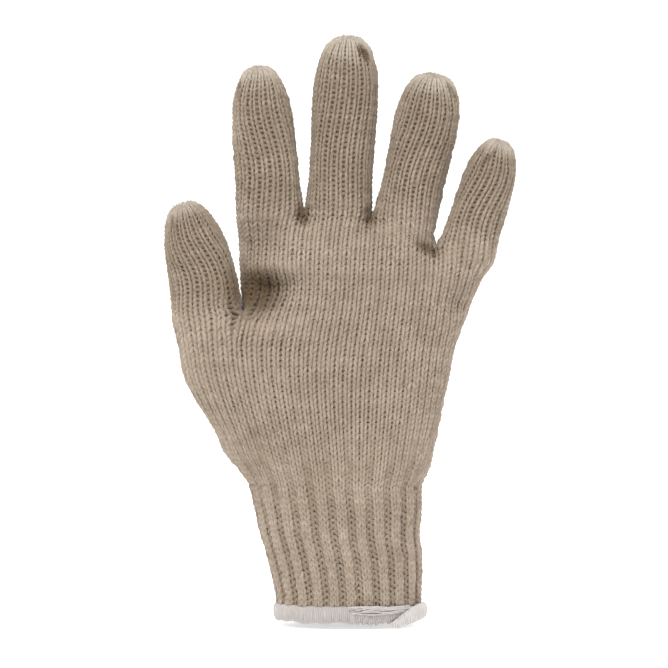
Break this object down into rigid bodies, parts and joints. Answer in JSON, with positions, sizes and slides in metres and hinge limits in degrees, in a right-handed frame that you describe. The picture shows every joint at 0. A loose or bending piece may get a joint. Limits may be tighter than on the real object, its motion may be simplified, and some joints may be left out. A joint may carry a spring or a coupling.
{
  "type": "knitted work glove",
  "caption": "Seamless knitted cotton work glove in worn form, with a tube for each finger and the thumb, a ribbed cuff and an overlocked hem at the open wrist",
  "frame": {"origin": "centre of the wrist opening, at the hem's lower edge", "axes": "+Z from the wrist opening to the fingertips, +Y towards the back of the hand with the palm facing -Y, +X from the thumb's side to the little finger's side"},
  "size_m": [0.1487, 0.0547, 0.25],
  "materials": {
    "cotton_knit": "matt unbleached cotton string knit",
    "overlock_thread": "matt off-white overlock thread"
  },
  "bodies": {
    "root": {"index_finger": "cotton_knit", "middle_finger": "cotton_knit", "ring_finger": "cotton_knit", "little_finger": "cotton_knit", "thumb": "cotton_knit", "upper_palm": "cotton_knit", "middle_palm": "cotton_knit", "lower_palm": "cotton_knit", "rib_cuff": "cotton_knit", "overlock_hem": "overlock_thread", "thread_tail": "overlock_thread"}
  },
  "joints": []
}
